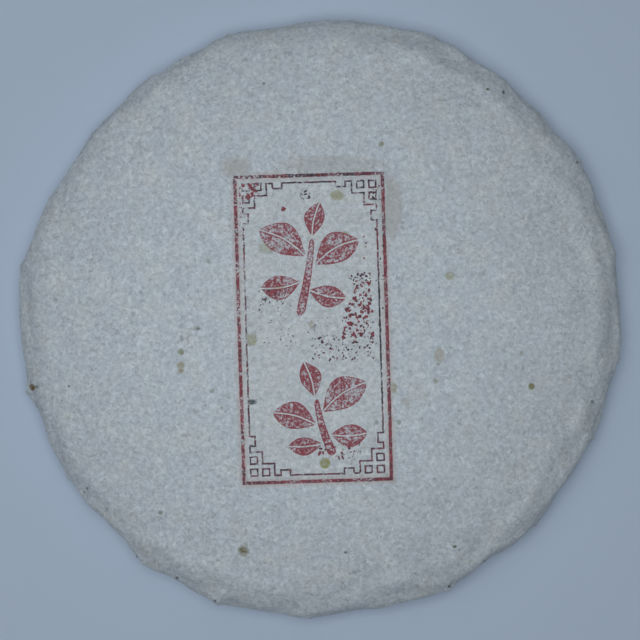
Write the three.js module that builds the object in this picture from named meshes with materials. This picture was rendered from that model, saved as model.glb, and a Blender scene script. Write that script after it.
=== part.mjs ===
// A round cake of pressed tea, shut in its paper wrapper and lying with the printed face up.
//
// Millimetres, +Z up. The origin is the middle of the underside, on the surface that the cake rests on, and
// +Y points to the top of the print. The cake and its wrapper are one solid: a turned section whose rim has
// corners where the paper is folded under. The folds overlap on the underside and run to the edge of a small
// circle round the axis, where the end of the paper is twisted and tucked into a dimple.

import * as THREE from "three";

// Pressed cake
const RADIUS = 100; // nominal, at the widest part of the rim
const CROWN_HEIGHT = 27; // from the resting surface to the top of the dome
const RIM_HEIGHT = 10; // of the widest part of the rim
const FOOT_RADIUS = 84; // outer edge of the ring that it rests on
const DIMPLE_RADIUS = 33; // inner edge of that ring
const DIMPLE_DEPTH = 8;

// Roundness of the section: 2 is an ellipse, and more is squarer
const DOME_LEVEL = 2.5; // how far out the dome stays level
const DOME_SHOULDER = 2.2; // how full its shoulder is
const UNDER_ROUND = 2; // between the foot and the widest part

// Folds of the wrapper, in order round the rim: where each turns under, in degrees anticlockwise from +X, and how
// far out the rim reaches there
const FOLDS = [
  { at: 12, reach: 101.2 },
  { at: 31, reach: 101.6 },
  { at: 52, reach: 101 },
  { at: 68, reach: 102.2 },
  { at: 84, reach: 100.6 },
  { at: 108, reach: 100 },
  { at: 125, reach: 99.1 },
  { at: 141, reach: 98.8 },
  { at: 156, reach: 99.2 },
  { at: 170, reach: 101.8 },
  { at: 194, reach: 101.2 },
  { at: 212, reach: 100.4 },
  { at: 234, reach: 101.2 },
  { at: 250, reach: 101.9 },
  { at: 268, reach: 100.4 },
  { at: 295, reach: 100.5 },
  { at: 316, reach: 99.9 },
  { at: 336, reach: 99.8 },
  { at: 352, reach: 100.9 },
];
const TAUTNESS = 0.6; // of the paper from one fold to the next: 0 follows the round cake, 1 is pulled straight
const CORNER_ROUND = 1.3; // 1 leaves a corner sharp, and 2 rounds it off
const CORNERS_FROM = 0.6; // share of the radius where the corners begin to show
const FOLD_STEP = 1; // thickness of the paper that ends at the edge of a fold
const FLAP_FLAT = 0.45; // share of a fold's width that the weight of the cake presses flat
const SHOULDER_SLOPE = 0.55; // upward share of the surface's direction where a fold's edge has run out
const TWIST_RADIUS = 10; // circle that the edges of the folds run to
const TAIL_RADIUS = 5; // twisted end of the paper in the middle of the dimple
const TAIL_HEIGHT = 3.5;

// Unevenness of the dome
const LUMP_HEIGHT = 0.22; // of the leaf that shows through the paper
const DENTS = [
  { x: 82, y: 33, size: 13, depth: 1.1 },
  { x: 50, y: 76, size: 15, depth: 0.9 },
  { x: -81, y: 38, size: 13, depth: 0.8 },
  { x: 37, y: -86, size: 9, depth: 1.2 },
  { x: 83, y: -34, size: 16, depth: 0.9 },
  { x: -70, y: -60, size: 18, depth: 0.6 },
];

// Fineness of the solid
const FOLD_COLUMNS = [0, 0.12, 0.3, 0.48, 0.66, 0.84, 0.96]; // places across a fold, closest at its edge
const DIMPLE_RINGS = 7;
const FOOT_RINGS = 4;
const UNDER_RINGS = 5;
const DOME_RINGS = 15;
const RINGS_TO_RIM = 1.25; // above 1 gathers the dome's rings towards its rim

const PAPER_COLOUR = 0xc8cbc5;
const PAPER_ROUGHNESS = 0.9;

const { clamp, degToRad, lerp, smoothstep } = THREE.MathUtils;
const QUARTER_TURN = Math.PI / 2;

/** Height of the dome at a distance from the axis. */
function domeHeight(radius) {
  const level = 1 - Math.min(1, radius / RADIUS) ** DOME_LEVEL;
  return RIM_HEIGHT + (CROWN_HEIGHT - RIM_HEIGHT) * level ** (1 / DOME_SHOULDER);
}

/** Height of the rounded edge between the foot and the widest part of the rim. */
function underHeight(radius) {
  const out = (radius - FOOT_RADIUS) / (RADIUS - FOOT_RADIUS);
  return RIM_HEIGHT * (1 - (1 - out ** UNDER_ROUND) ** (1 / UNDER_ROUND));
}

/** Height of the dimple, with the tail of paper that hangs down in its middle. */
function dimpleHeight(radius) {
  const hollow = DIMPLE_DEPTH * Math.cos(QUARTER_TURN * (radius / DIMPLE_RADIUS)) ** 2;
  return hollow - TAIL_HEIGHT * Math.exp(-((radius / TAIL_RADIUS) ** 2));
}

/** Half of the section, from the axis under the cake, round the rim and back to the axis over it. */
function section() {
  const points = [];
  for (let i = 0; i < DIMPLE_RINGS; i++) {
    const radius = (DIMPLE_RADIUS * i) / DIMPLE_RINGS;
    points.push(new THREE.Vector2(radius, dimpleHeight(radius)));
  }
  for (let i = 0; i < FOOT_RINGS; i++) {
    points.push(new THREE.Vector2(lerp(DIMPLE_RADIUS, FOOT_RADIUS, i / (FOOT_RINGS - 1)), 0));
  }
  for (let i = 1; i <= UNDER_RINGS; i++) {
    const radius = lerp(FOOT_RADIUS, RADIUS, Math.sin((QUARTER_TURN * i) / (UNDER_RINGS + 1)));
    points.push(new THREE.Vector2(radius, underHeight(radius)));
  }
  for (let i = 0; i < DOME_RINGS; i++) {
    const radius = RADIUS * Math.cos(QUARTER_TURN * (i / DOME_RINGS) ** RINGS_TO_RIM);
    points.push(new THREE.Vector2(radius, domeHeight(radius)));
  }
  points.push(new THREE.Vector2(0, CROWN_HEIGHT));
  return points;
}

/** Azimuth and reach of the rim at a share of the way from one fold to the next. */
function rimBetween(fold, next, share) {
  const start = degToRad(fold.at);
  const end = degToRad(next.at > fold.at ? next.at : next.at + 360);
  const straightSag = 1 - Math.cos((end - start) / 2);
  const sag = TAUTNESS * straightSag * Math.sin(Math.PI * share) ** CORNER_ROUND;
  return { azimuth: lerp(start, end, share), reach: lerp(fold.reach, next.reach, share) * (1 - sag), share };
}

/** Every column of the solid, in order round the rim. */
function columnsOfRim() {
  return FOLDS.flatMap((fold, i) =>
    FOLD_COLUMNS.map((share) => rimBetween(fold, FOLDS[(i + 1) % FOLDS.length], share)),
  );
}

/** Turn of a straight fold edge at a distance from the axis, on its way from the rim to the twisted tail. */
function foldTurn(radius) {
  const nearest = Math.max(radius, 1.2 * TWIST_RADIUS);
  return Math.asin(TWIST_RADIUS / nearest) - Math.asin(TWIST_RADIUS / RADIUS);
}

/** How far the dome stands above its turned shape at a point seen from above. */
function unevenness(x, y) {
  let height = Math.sin(x / 11 + 1.3) * Math.cos(y / 14 - 0.4) + 0.6 * Math.sin((x - 1.7 * y) / 17 + 2.1);
  height *= LUMP_HEIGHT;
  for (const dent of DENTS) {
    const away = Math.hypot(x - dent.x, y - dent.y) / dent.size;
    height -= dent.depth * Math.exp(-(away ** 2));
  }
  return height;
}

/** The wrapped cake: a lathe whose vertices are moved to the corners, folds, lumps and dents. */
function wrappedCakeGeometry() {
  const points = section();
  const columns = columnsOfRim();
  const geometry = new THREE.LatheGeometry(points, columns.length).rotateX(QUARTER_TURN);
  const position = geometry.getAttribute("position");
  const normal = geometry.getAttribute("normal");
  for (let i = 0; i < position.count; i++) {
    const { x: radius, y: height } = points[i % points.length];
    const { azimuth, reach, share } = columns[Math.floor(i / points.length) % columns.length];
    const up = clamp(normal.getZ(i), -1, 1);
    const cornered = smoothstep(radius / RADIUS, CORNERS_FROM, 1);
    const folded = clamp((SHOULDER_SLOPE - up) / (1 + SHOULDER_SLOPE), 0, 1) * Math.min(1, radius / (2 * TAIL_RADIUS));
    const tuck = FOLD_STEP * folded * Math.max(0, (share - FLAP_FLAT) / (1 - FLAP_FLAT));
    const angle = azimuth + (height < RIM_HEIGHT ? foldTurn(radius) : 0);
    const spread = radius * lerp(1, reach / RADIUS, cornered) - tuck * Math.sqrt(1 - up * up);
    const x = spread * Math.cos(angle);
    const y = spread * Math.sin(angle);
    position.setXYZ(i, x, y, height - tuck * Math.min(0, up) + Math.max(0, up) * unevenness(x, y));
  }
  geometry.computeBoundingBox();
  const middle = geometry.boundingBox.getCenter(new THREE.Vector3());
  geometry.translate(-middle.x, -middle.y, 0);
  geometry.computeVertexNormals();
  return geometry;
}

const paper = new THREE.MeshStandardMaterial({ color: PAPER_COLOUR, roughness: PAPER_ROUGHNESS, metalness: 0 });
const wrappedCake = new THREE.Mesh(wrappedCakeGeometry(), paper);
wrappedCake.name = "wrapped_cake";

const teaCake = new THREE.Group();
teaCake.add(wrappedCake);

export default teaCake;
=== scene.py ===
"""Looks of a round cake of pressed tea that is shut in a printed paper wrapper.

Metres, +Z up. The origin is the middle of the underside and +Y points to the top of the print. The wrapper takes
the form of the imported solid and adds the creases, wrinkles and grain of the paper. The print and the spots are
thin films that lie on it.
"""

import logging
import math
import random
from collections.abc import Iterable
from dataclasses import dataclass
from enum import Enum
from typing import Any

import bmesh
import bpy
from mathutils import Matrix, Vector, noise
from mathutils.bvhtree import BVHTree


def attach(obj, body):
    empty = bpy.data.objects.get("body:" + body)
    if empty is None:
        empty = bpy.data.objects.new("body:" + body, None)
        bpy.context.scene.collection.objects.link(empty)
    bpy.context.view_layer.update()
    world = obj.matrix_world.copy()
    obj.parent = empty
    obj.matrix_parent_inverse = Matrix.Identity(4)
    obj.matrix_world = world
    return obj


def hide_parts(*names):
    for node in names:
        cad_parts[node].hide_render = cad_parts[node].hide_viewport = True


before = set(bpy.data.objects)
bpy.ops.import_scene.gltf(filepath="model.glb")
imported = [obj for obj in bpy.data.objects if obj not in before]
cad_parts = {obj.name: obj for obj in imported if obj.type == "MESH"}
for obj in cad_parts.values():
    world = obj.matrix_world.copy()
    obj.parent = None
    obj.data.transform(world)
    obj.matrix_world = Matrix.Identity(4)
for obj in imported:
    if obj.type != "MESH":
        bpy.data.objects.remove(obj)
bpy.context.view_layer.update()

MM = 0.001
QUARTER_TURN = math.pi / 2

Colour = tuple[float, float, float]
Point = tuple[float, float]
Span = tuple[float, float]
Place = tuple[float, float, float]

log = logging.getLogger("tea_cake")


def lerp(start: float, end: float, share: float) -> float:
    """The number at a share of the way from start to end."""
    return start + (end - start) * share


def clamp(value: float, low: float = 0.0, high: float = 1.0) -> float:
    """The value, kept between low and high."""
    return max(low, min(high, value))


def smoothstep(value: float, low: float, high: float) -> float:
    """0 below low, 1 above high and a smooth rise between them."""
    share = clamp((value - low) / (high - low))
    return share * share * (3 - 2 * share)


def bump(distance: float, width: float) -> float:
    """1 at distance 0, falling off as a bell of that width."""
    return math.exp(-((distance / width) ** 2))


def new_piece(bm: bmesh.types.BMesh, name: str, materials: Iterable[bpy.types.Material]) -> bpy.types.Object:
    """Makes a finished bmesh an object at the origin.

    Args:
        bm: The mesh in metres, in the row frame. It is freed.
        name: The piece's name.
        materials: Its materials, in the order of the faces' material numbers.

    Returns:
        The object, linked to the scene.
    """
    mesh = bpy.data.meshes.new(name)
    bm.to_mesh(mesh)
    bm.free()
    for material in materials:
        mesh.materials.append(material)
    piece = bpy.data.objects.new(name, mesh)
    bpy.context.scene.collection.objects.link(piece)
    return piece


@dataclass(frozen=True)
class Cloud:
    """Cloudy noise: how large its patches are, in millimetres, and its detail, roughness and distortion."""

    size: float
    detail: float = 2
    roughness: float = 0.5
    distortion: float = 0


class Signal:
    """An output of a shader node, which Python's operators join to others with Math nodes."""

    def __init__(self, shade: "Shade", node: bpy.types.Node, out: int | str = 0) -> None:
        """Keeps the node, and the name or number of its output."""
        self.shade = shade
        self.node = node
        self.out = out

    @property
    def socket(self) -> bpy.types.NodeSocket:
        """The output itself."""
        return self.node.outputs[self.out]

    def output(self, out: int | str) -> "Signal":
        """Another output of the same node."""
        return Signal(self.shade, self.node, out)

    def math(self, operation: str, *values: "Signal | float") -> "Signal":
        """A Math node of that operation on the values."""
        return self.shade.node("ShaderNodeMath", {"operation": operation}, dict(enumerate(values)))

    def __add__(self, other: "Signal | float") -> "Signal":
        """Sum."""
        return self.math("ADD", self, other)

    __radd__ = __add__

    def __sub__(self, other: "Signal | float") -> "Signal":
        """Difference."""
        return self.math("SUBTRACT", self, other)

    def __rsub__(self, other: "Signal | float") -> "Signal":
        """Difference, the other way round."""
        return self.math("SUBTRACT", other, self)

    def __mul__(self, other: "Signal | float") -> "Signal":
        """Product."""
        return self.math("MULTIPLY", self, other)

    __rmul__ = __mul__

    def __abs__(self) -> "Signal":
        """Size without the sign."""
        return self.math("ABSOLUTE", self)


class Shade:
    """The nodes of one material, or of the surroundings."""

    def __init__(self, owner: bpy.types.Material | bpy.types.World) -> None:
        """Clears the nodes of the material or the surroundings."""
        self.owner = owner
        owner.use_nodes = True
        owner.node_tree.nodes.clear()

    def node(
        self, kind: str, settings: dict[str, Any] | None = None, sockets: dict[int | str, Any] | None = None
    ) -> Signal:
        """Adds a node.

        Args:
            kind: Its type.
            settings: Its properties, which are set first.
            sockets: The value of each input, or the signal that feeds it, by its name or number.

        Returns:
            Its first output.
        """
        tree = self.owner.node_tree
        made = tree.nodes.new(kind)
        for name, value in (settings or {}).items():
            setattr(made, name, value)
        for key, value in (sockets or {}).items():
            if isinstance(value, Signal):
                tree.links.new(value.socket, made.inputs[key])
            else:
                made.inputs[key].default_value = value
        return Signal(self, made)

    def place(self) -> Signal:
        """The point on the object, in millimetres."""
        point = self.node("ShaderNodeTexCoord").output("Object")
        return self.node("ShaderNodeVectorMath", {"operation": "SCALE"}, {0: point, "Scale": 1 / MM})

    def shift(self, point: Signal, way: Place) -> Signal:
        """The point, moved along in millimetres, so that a second noise differs from the first."""
        return self.node("ShaderNodeVectorMath", {"operation": "ADD"}, {0: point, 1: way})

    def attribute(self, name: str, out: str = "Fac") -> Signal:
        """A value that the mesh stores, which is 0 on a mesh without it."""
        return self.node("ShaderNodeAttribute", {"attribute_name": name}).output(out)

    def noise(self, point: Signal, cloud: Cloud) -> Signal:
        """Cloudy noise from 0 to 1 at the point, in millimetres."""
        sockets = {"Vector": point, "Scale": 1 / cloud.size, "Detail": cloud.detail}
        sockets |= {"Roughness": cloud.roughness, "Distortion": cloud.distortion}
        return self.node("ShaderNodeTexNoise", None, sockets)

    def spread(self, value: Signal, low: float, high: float) -> Signal:
        """The number that runs evenly from low to high as the value goes from 0 to 1."""
        return low + (high - low) * value

    def step(self, value: Signal, low: float, high: float) -> Signal:
        """0 where the value is below low, 1 where it is above high, and smooth between them."""
        sockets = {"Value": value, "From Min": low, "From Max": high}
        if low > high:
            sockets = {"Value": value, "From Min": high, "From Max": low, "To Min": 1.0, "To Max": 0.0}
        return self.node("ShaderNodeMapRange", {"interpolation_type": "SMOOTHSTEP"}, sockets)

    def mix(self, share: Signal | float, first: Signal | Colour, second: Signal | Colour) -> Signal:
        """The first colour where the share is 0, and the second where it is 1."""
        colours = [c if isinstance(c, Signal) else (*c, 1) for c in (first, second)]
        return self.node("ShaderNodeMix", {"data_type": "RGBA"}, {0: share, 6: colours[0], 7: colours[1]}).output(2)

    def dim(self, colour: Signal | Colour, light: Signal) -> Signal:
        """The colour, made darker or lighter by a number."""
        return self.node("ShaderNodeVectorMath", {"operation": "SCALE"}, {0: colour, "Scale": light})

    def surface(
        self, colour: Signal | Colour, relief: Signal, roughness: float, glow: Signal | None = None
    ) -> bpy.types.Material:
        """Finishes the material.

        Args:
            colour: Its colour.
            relief: The height of its fine relief, in millimetres.
            roughness: Its roughness.
            glow: The light that it gives off, if any.

        Returns:
            The material.
        """
        normal = self.node("ShaderNodeBump", None, {"Strength": 1.0, "Distance": MM, "Height": relief})
        base = colour if isinstance(colour, Signal) else (*colour, 1)
        sockets = {"Base Color": base, "Roughness": roughness, "Normal": normal}
        if glow:
            sockets |= {"Emission Color": glow, "Emission Strength": 1.0}
        skin = self.node("ShaderNodeBsdfPrincipled", None, sockets)
        self.node("ShaderNodeOutputMaterial", None, {"Surface": skin})
        return self.owner


@dataclass(frozen=True)
class PaperFinish:
    """Thin off-white bark paper, with short fibres and fine specks in it. Lengths in millimetres."""

    colour: Colour = (0.795, 0.80, 0.79)
    warm: Colour = (0.795, 0.785, 0.745)
    roughness: float = 0.5
    grain: Cloud = Cloud(1.4, 4, 0.68, 0.6)
    grain_contrast: float = 1.2
    cloud: Cloud = Cloud(9, 2, 0.6)
    cloud_contrast: float = 0.2
    warm_span: Span = (0.45, 0.75)
    fibre: Cloud = Cloud(4.5, 1, 0.5, 1.2)
    fibre_breaks: Cloud = Cloud(2.25, 0)
    break_span: Span = (0.48, 0.56)
    fibre_width: float = 0.04
    fibre_contrast: float = 0.18
    fibre_rise: float = 0.3
    dark_fibres_at: Place = (31, 17, 5)
    speck_size: float = 2.1
    speck_span: Span = (0.13, 0.052)
    speck_darkness: float = 0.34
    relief: float = 0.12
    # painted shade: the paper is darkened between these distances from the axis, in millimetres, by up to this much,
    # in patches
    painted_rim_shade_span: Span = (89, 99.5)
    painted_rim_shade_darkness: float = 0.15
    painted_rim_shade_patches: Span = (0.4, 1.6)

    def painted_rim_shade(self, shade: Shade, point: Signal, cloud: Signal) -> Signal:
        """How much darker the paper is painted near the rim, unevenly, as painted shade where the rim turns away from
        the light: 0 is not at all.
        """
        flat = shade.node("ShaderNodeVectorMath", {"operation": "MULTIPLY"}, {0: point, 1: (1, 1, 0)})
        out = shade.node("ShaderNodeVectorMath", {"operation": "LENGTH"}, {0: flat}).output("Value")
        uneven = shade.spread(cloud, *self.painted_rim_shade_patches)
        return self.painted_rim_shade_darkness * uneven * shade.step(out, *self.painted_rim_shade_span)

    def fibres(self, shade: Shade, point: Signal) -> Signal:
        """Short curved strands: 1 on a strand and 0 beside it."""
        strand = abs(shade.noise(point, self.fibre) - 0.5)
        whole = shade.step(shade.noise(point, self.fibre_breaks), *self.break_span)
        return shade.step(strand, self.fibre_width, 0) * whole

    def specks(self, shade: Shade, point: Signal) -> Signal:
        """Scattered fine specks: 1 in the middle of one and 0 beside it."""
        away = shade.node("ShaderNodeTexVoronoi", None, {"Vector": point, "Scale": 1 / self.speck_size})
        return shade.step(away, *self.speck_span)

    def look(self, shade: Shade, point: Signal) -> tuple[Signal, Signal]:
        """The paper's colour and the height of its relief, in millimetres.

        Args:
            shade: The material that shows the paper.
            point: The place on the object, in millimetres.

        Returns:
            The colour, and the height.
        """
        grain = shade.noise(point, self.grain)
        cloud = shade.noise(point, self.cloud)
        pale = self.fibres(shade, point)
        dark = self.fibres(shade, shade.shift(point, self.dark_fibres_at))
        light = 1 + self.grain_contrast * (grain - 0.5) + self.cloud_contrast * (cloud - 0.5)
        light = light + self.fibre_contrast * (pale - dark) - self.speck_darkness * self.specks(shade, point)
        # painted shade near the rim, not dirt or wear
        light = light * (1 - self.painted_rim_shade(shade, point, cloud))
        tone = shade.mix(shade.step(cloud, *self.warm_span), self.colour, self.warm)
        height = self.relief * (grain + self.fibre_rise * pale)
        return shade.dim(tone, light), height

    def material(self) -> bpy.types.Material:
        """The material of the bare wrapper."""
        shade = Shade(bpy.data.materials.new("bark_paper"))
        colour, height = self.look(shade, shade.place())
        return shade.surface(colour, height, self.roughness)


class Coverage(Enum):
    """How worn a mark is: the level of the wear noise above which its ink stays."""

    LINE = 0.39
    FIELD = 0.465


@dataclass(frozen=True)
class InkFinish:
    """Worn stamp ink on the paper, and the stain that it leaves in it. Lengths in millimetres."""

    paper: PaperFinish
    crimson: Colour = (0.43, 0.085, 0.1)
    black: Colour = (0.06, 0.035, 0.042)
    bled: Colour = (0.66, 0.45, 0.38)
    oiled: Colour = (0.97, 0.87, 0.66)
    wear: Cloud = Cloud(0.8, 2, 0.6, 0.8)
    wear_edge: float = 0.09
    patch: Cloud = Cloud(7, 1)
    patch_share: float = 0.35
    blot: Cloud = Cloud(2.4, 2, 0.7)
    blot_edge: float = 0.25
    bleed: Cloud = Cloud(2.4)
    bleed_patches: Span = (0.4, 1.6)
    stain: float = 0.1
    roughness: float = 0.7

    def material(self, name: str, coverage: Coverage, darkness: float) -> bpy.types.Material:
        """Makes the material of one kind of mark, whose attributes worn and dark add to its wear and its darkness.

        Args:
            name: The material's name.
            coverage: How worn the ink is.
            darkness: How much of it is nearly black, from 0 to 1.

        Returns:
            The material.
        """
        shade = Shade(bpy.data.materials.new(name))
        point = shade.place()
        paper, height = self.paper.look(shade, point)
        patch = shade.noise(point, self.patch) - 0.5
        wear = shade.noise(point, self.wear) + self.patch_share * patch - shade.attribute("worn")
        inked = shade.step(wear, coverage.value - self.wear_edge, coverage.value + self.wear_edge)
        blot = shade.noise(point, self.blot) + darkness + shade.attribute("dark")
        dark = shade.step(blot, 1 - self.blot_edge, 1 + self.blot_edge)
        ink = shade.mix(dark, self.crimson, self.black)
        stained = shade.mix(self.stain, paper, self.crimson)
        return shade.surface(shade.mix(inked, stained, ink), height, self.roughness)

    def bleed_material(self) -> bpy.types.Material:
        """The material of the paper that the ink has bled into, whose attributes strength and oil say how much."""
        shade = Shade(bpy.data.materials.new("ink_bleed"))
        point = shade.place()
        paper, height = self.paper.look(shade, point)
        uneven = shade.spread(shade.noise(point, self.bleed), *self.bleed_patches)
        yellowed = shade.mix(shade.attribute("oil") * uneven, paper, self.oiled)
        stained = shade.mix(shade.attribute("strength") * uneven, yellowed, self.bled)
        return shade.surface(stained, height, self.paper.roughness)

    def fleck_material(self) -> bpy.types.Material:
        """The material of the loose flecks, whose attribute dark says how black each one is."""
        shade = Shade(bpy.data.materials.new("ink_fleck"))
        height = self.paper.look(shade, shade.place())[1]
        return shade.surface(shade.mix(shade.attribute("dark"), self.crimson, self.black), height, self.roughness)


@dataclass(frozen=True)
class SpotFinish:
    """Plant matter and damp that coloured the paper. Lengths in millimetres."""

    paper: PaperFinish
    edge: Cloud = Cloud(1.2)
    patches: Span = (0.1, 1.9)
    roughness: float = 0.9

    def material(self) -> bpy.types.Material:
        """The material of the spots, whose attributes tint and strength say what each point shows."""
        shade = Shade(bpy.data.materials.new("paper_spot"))
        point = shade.place()
        paper, height = self.paper.look(shade, point)
        shown = shade.attribute("strength") * shade.spread(shade.noise(point, self.edge), *self.patches)
        return shade.surface(shade.mix(shown, paper, shade.attribute("tint", "Color")), height, self.roughness)


@dataclass(frozen=True)
class FloorFinish:
    """A plain pale blue surface that glows softly far from the cake, where the lamps are weak. In millimetres."""

    colour: Colour = (0.727, 0.793, 0.892)
    roughness: float = 0.85
    glow: Colour = (0.28, 0.345, 0.43)
    glow_span: Span = (90, 800)
    cloud: Cloud = Cloud(60)
    cloud_contrast: float = 0.03
    grain: Cloud = Cloud(0.6)
    relief: float = 0.02

    def material(self) -> bpy.types.Material:
        """The material of the floor."""
        shade = Shade(bpy.data.materials.new("floor_top"))
        point = shade.place()
        light = 1 + self.cloud_contrast * (shade.noise(point, self.cloud) - 0.5)
        away = shade.node("ShaderNodeVectorMath", {"operation": "LENGTH"}, {0: point}).output("Value")
        glow = shade.dim(self.glow, shade.step(away, *self.glow_span))
        relief = self.relief * shade.noise(point, self.grain)
        return shade.surface(shade.dim(self.colour, light), relief, self.roughness, glow)


@dataclass(frozen=True)
class Fold:
    """A fold of the paper: its place round the rim, in degrees from +X, and the rim's reach there."""

    at: float
    reach: float


@dataclass(frozen=True)
class Dent:
    """A soft hollow in the dome."""

    x: float
    y: float
    size: float
    depth: float


@dataclass(frozen=True)
class Crease:
    """A straight crease in the paper. A negative height is a furrow."""

    start: Point
    end: Point
    height: float
    width: float

    def rise(self, x: float, y: float) -> float:
        """How far it lifts the paper at a point seen from above."""
        run_x = self.end[0] - self.start[0]
        run_y = self.end[1] - self.start[1]
        length = math.hypot(run_x, run_y)
        along = ((x - self.start[0]) * run_x + (y - self.start[1]) * run_y) / length
        across = ((x - self.start[0]) * run_y - (y - self.start[1]) * run_x) / length
        if abs(across) > 3 * self.width:
            return 0.0
        ends = smoothstep(along, -self.width, 3 * self.width) * smoothstep(length - along, -self.width, 3 * self.width)
        return self.height * bump(across, self.width) * ends


@dataclass(frozen=True)
class Pinch:
    """The crease that runs on from a fold over the shoulder: its height, width and length, and its lean."""

    height: float
    width: float
    length: float
    lean: float


@dataclass(frozen=True)
class Ring:
    """A ring of the section: its radius, its height, and how far it faces up, from -1 to 1."""

    radius: float
    height: float
    up: float


@dataclass(frozen=True)
class Column:
    """A column of the wrapper: its place round the rim in radians, the rim's reach, and the share of its fold."""

    azimuth: float
    reach: float
    share: float
    fold: int


FOLDS = tuple(
    Fold(at, reach * MM)
    for at, reach in (
        (12, 101.2), (31, 101.6), (52, 101), (68, 102.2), (84, 100.6), (108, 100), (125, 99.1), (141, 98.8),
        (156, 99.2), (170, 101.8), (194, 101.2), (212, 100.4), (234, 101.2), (250, 101.9), (268, 100.4),
        (295, 100.5), (316, 99.9), (336, 99.8), (352, 100.9),
    )
)
DENTS = tuple(
    Dent(x * MM, y * MM, size * MM, depth * MM)
    for x, y, size, depth in (
        (82, 33, 13, 1.1), (50, 76, 15, 0.9), (-81, 38, 13, 0.8), (37, -86, 9, 1.2), (83, -34, 16, 0.9),
        (-70, -60, 18, 0.6),
    )
)
CREASES = tuple(
    Crease((x1 * MM, y1 * MM), (x2 * MM, y2 * MM), height * MM, width * MM)
    for x1, y1, x2, y2, height, width in (
        (91, 42, 72, 30, 0.25, 1.6), (91.5, 35, 96, 15, 0.35, 1.2), (59, -46, 61, -60, 0.18, 1.6),
        (-89, -20, -87, -25, 0.3, 0.9), (34, 90, 39, 89.5, -0.4, 0.7), (37, -82, 35, -86, 0.35, 1.0),
        (-92, 14, -70, 8, 0.12, 1.4), (-91, 38, -66, 35, 0.12, 1.4), (-93, -6, -74, -4, 0.1, 1.3),
        (60, 72, 48, 60, 0.14, 1.8), (22, 94, 20, 78, 0.12, 1.5), (-48, -80, -38, -66, 0.14, 1.5),
        (78, -50, 62, -42, 0.16, 1.6), (-20, 93, -18, 80, 0.1, 1.4),
    )
)
PINCH_STRENGTH = 1.5
PINCHES = tuple(
    Pinch(PINCH_STRENGTH * height * MM, width * MM, length * MM, lean)
    for height, width, length, lean in (
        (0.3, 1.1, 14, 0.1), (0.4, 1.4, 20, -0.2), (0.25, 1, 11, 0.05), (0.35, 1.2, 17, 0.2),
        (0.4, 1.3, 13, -0.1), (0.2, 1, 9, 0), (0.35, 1.1, 16, 0.15), (0.25, 1.2, 12, -0.15),
        (0.3, 1, 10, 0.1), (0.45, 1.4, 18, -0.05), (0.35, 1.1, 13, 0.2), (0.3, 1.2, 15, -0.2),
        (0.25, 1, 10, 0.05), (0.4, 1.3, 17, 0.1), (0.35, 1.1, 14, -0.1), (0.45, 1.4, 16, 0.15),
        (0.3, 1.1, 12, -0.05), (0.35, 1.2, 19, 0.1), (0.25, 1, 11, -0.15),
    )
)


@dataclass(frozen=True)
class CakeForm:
    """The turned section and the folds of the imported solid."""

    radius: float = 100 * MM
    crown_height: float = 27 * MM
    rim_height: float = 10 * MM
    foot_radius: float = 84 * MM
    dimple_radius: float = 33 * MM
    dimple_depth: float = 8 * MM
    dome_level: float = 2.5
    dome_shoulder: float = 2.2
    under_round: float = 2
    tautness: float = 0.6
    corner_round: float = 1.3
    corners_from: float = 0.6
    fold_step: float = 1 * MM
    flap_flat: float = 0.45
    shoulder_slope: float = 0.55
    twist_radius: float = 10 * MM
    tail_radius: float = 5 * MM
    tail_height: float = 3.5 * MM
    lump_height: float = 0.22 * MM

    def dome(self, radius: float) -> float:
        """Height of the dome at a distance from the axis."""
        level = 1 - min(1, radius / self.radius) ** self.dome_level
        return lerp(self.rim_height, self.crown_height, level ** (1 / self.dome_shoulder))

    def under(self, radius: float) -> float:
        """Height of the rounded edge between the foot and the widest part of the rim."""
        out = (radius - self.foot_radius) / (self.radius - self.foot_radius)
        return self.rim_height * (1 - (1 - out**self.under_round) ** (1 / self.under_round))

    def dimple(self, radius: float) -> float:
        """Height of the dimple, with the tail of paper that hangs down in its middle."""
        hollow = self.dimple_depth * math.cos(QUARTER_TURN * radius / self.dimple_radius) ** 2
        return hollow - self.tail_height * bump(radius, self.tail_radius)

    def rim(self, fold: int, share: float) -> Column:
        """The column at a share of the way from one fold to the next."""
        start = math.radians(FOLDS[fold].at)
        following = FOLDS[(fold + 1) % len(FOLDS)]
        end = math.radians(following.at)
        if end < start:
            end += math.tau
        sag = self.tautness * (1 - math.cos((end - start) / 2)) * math.sin(math.pi * share) ** self.corner_round
        reach = lerp(FOLDS[fold].reach, following.reach, share) * (1 - sag)
        return Column(lerp(start, end, share), reach, share, fold)

    def fold_turn(self, radius: float) -> float:
        """Turn of a straight fold edge on its way from the rim to the twisted tail."""
        nearest = max(radius, 1.2 * self.twist_radius)
        return math.asin(self.twist_radius / nearest) - math.asin(self.twist_radius / self.radius)

    def unevenness(self, x: float, y: float) -> float:
        """How far the dome stands above its turned shape at a point seen from above."""
        across, along = x / MM, y / MM
        lumps = math.sin(across / 11 + 1.3) * math.cos(along / 14 - 0.4)
        lumps += 0.6 * math.sin((across - 1.7 * along) / 17 + 2.1)
        hollows = sum(dent.depth * bump(math.hypot(x - dent.x, y - dent.y), dent.size) for dent in DENTS)
        return self.lump_height * lumps - hollows

    def tuck(self, radius: float, up: float, share: float) -> float:
        """How far the paper steps in under the flap of the next fold."""
        folded = clamp((self.shoulder_slope - up) / (1 + self.shoulder_slope))
        folded *= min(1, radius / (2 * self.tail_radius))
        return self.fold_step * folded * max(0, (share - self.flap_flat) / (1 - self.flap_flat))


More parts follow.
